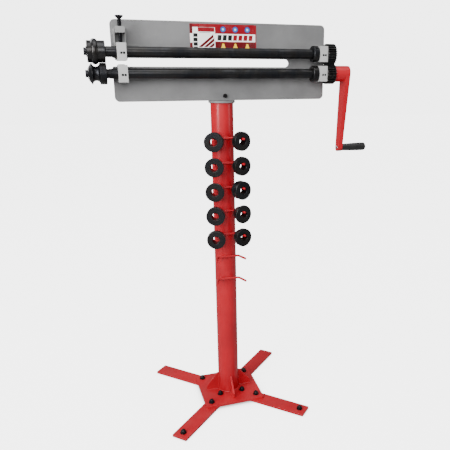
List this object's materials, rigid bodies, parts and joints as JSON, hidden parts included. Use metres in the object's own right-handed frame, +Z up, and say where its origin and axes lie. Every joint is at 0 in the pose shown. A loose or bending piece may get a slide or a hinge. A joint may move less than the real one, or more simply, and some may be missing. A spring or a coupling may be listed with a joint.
{
  "type": "bead roller",
  "caption": "Hand-cranked bead roller for sheet metal on a floor stand, with paired dies on two geared shafts, a screw-down upper bearing and hooks for spare dies.",
  "frame": {"origin": "on the floor, under the middle of the whole outline, which is 37.1 mm to the crank's side of the column's axis", "axes": "+X along the shafts towards the crank, +Y from the operator's side to the back, +Z up"},
  "size_m": [0.7428, 0.3936, 1.0665],
  "materials": {
    "red_paint": "gloss red enamel",
    "grey_paint": "semi-gloss mid grey enamel",
    "pale_grey_paint": "satin light grey enamel",
    "black_steel": "black oxide, semi-gloss",
    "black_fasteners": "black oxide fasteners",
    "bright_steel": "turned bright steel",
    "bronze": "plain bearing bronze",
    "black_plastic": "moulded black plastic"
  },
  "bodies": {
    "stand": {"base_plate": "red_paint", "bearing_lower_left": "pale_grey_paint", "bearing_lower_right": "pale_grey_paint", "bearing_upper_right": "pale_grey_paint", "column": "red_paint", "die_hook_1": "red_paint", "die_hook_2": "red_paint", "die_hook_3": "red_paint", "die_hook_4": "red_paint", "die_hook_5": "red_paint", "die_hook_6": "red_paint", "die_hook_7": "red_paint", "end_bolt_left_front": "black_fasteners", "end_bolt_right_front": "black_fasteners", "frame_bolt": "black_fasteners", "frame_foot": "grey_paint", "frame_plate": "grey_paint", "gusset_front": "red_paint", "gusset_left": "red_paint", "gusset_rear": "red_paint", "gusset_right": "red_paint", "inner_bolt_left_front": "black_fasteners", "inner_bolt_left_rear": "black_fasteners", "inner_bolt_right_front": "black_fasteners", "inner_bolt_right_rear": "black_fasteners", "leg_left_front": "red_paint", "leg_left_rear": "red_paint", "leg_right_front": "red_paint", "leg_right_rear": "red_paint", "outer_bolt_left_front": "black_fasteners", "outer_bolt_left_rear": "black_fasteners", "outer_bolt_right_front": "black_fasteners", "outer_bolt_right_rear": "black_fasteners", "screw_guide": "pale_grey_paint", "spare_die_left_1": "black_steel", "spare_die_left_2": "black_steel", "spare_die_left_3": "black_steel", "spare_die_left_4": "black_steel", "spare_die_left_5": "black_steel", "spare_die_right_1": "black_steel", "spare_die_right_2": "black_steel", "spare_die_right_3": "black_steel", "spare_die_right_4": "black_steel", "spare_die_right_5": "black_steel"},
    "sliding_bearing": {"sliding_bearing": "pale_grey_paint"},
    "adjusting_screw": {"adjusting_screw": "black_fasteners"},
    "upper_bush": {"upper_bush": "bronze"},
    "upper_shaft": {"upper_shaft": "black_steel", "upper_die": "black_steel", "upper_die_bolt": "black_fasteners", "upper_collar": "black_steel", "upper_gear": "black_steel"},
    "lower_shaft": {"lower_shaft": "black_steel", "lower_die": "black_steel", "lower_die_bolt": "black_fasteners", "lower_collar": "black_steel", "lower_gear": "black_steel", "crank_arm": "red_paint", "grip_pin": "bright_steel"},
    "crank_grip": {"crank_grip": "black_plastic"}
  },
  "joints": [
    {"name": "crank_turn", "type": "hinge", "parent": "stand", "child": "lower_shaft", "pos_m": [0, -0.034, 0.935], "axis": [1, 0, 0], "continuous": true},
    {"name": "grip_spin", "type": "hinge", "parent": "lower_shaft", "child": "crank_grip", "pos_m": [0.36, -0.034, 0.735], "axis": [1, 0, 0], "continuous": true},
    {"name": "screw_turn", "type": "hinge", "parent": "sliding_bearing", "child": "adjusting_screw", "pos_m": [-0.2861, -0.034, 1.04], "axis": [0, 0, 1], "range_deg": [0, 1260]},
    {"name": "bearing_slide", "type": "slide", "parent": "stand", "child": "sliding_bearing", "axis": [0, 0, 1], "range_m": [0, 0.00526]},
    {"name": "shaft_tilt", "type": "hinge", "parent": "stand", "child": "upper_bush", "pos_m": [0.2299, -0.034, 0.985], "axis": [0, 1, 0], "range_deg": [0, 0.58295]},
    {"name": "upper_shaft_spin", "type": "hinge", "parent": "upper_bush", "child": "upper_shaft", "pos_m": [0, -0.034, 0.985], "axis": [1, 0, 0], "continuous": true}
  ],
  "couplings": [
    {"joint": "upper_shaft_spin", "follows": "crank_turn", "ratio": -1},
    {"joint": "bearing_slide", "follows": "shaft_tilt", "m_per_rad": 0.516},
    {"joint": "screw_turn", "follows": "shaft_tilt", "ratio": 2161.4}
  ]
}
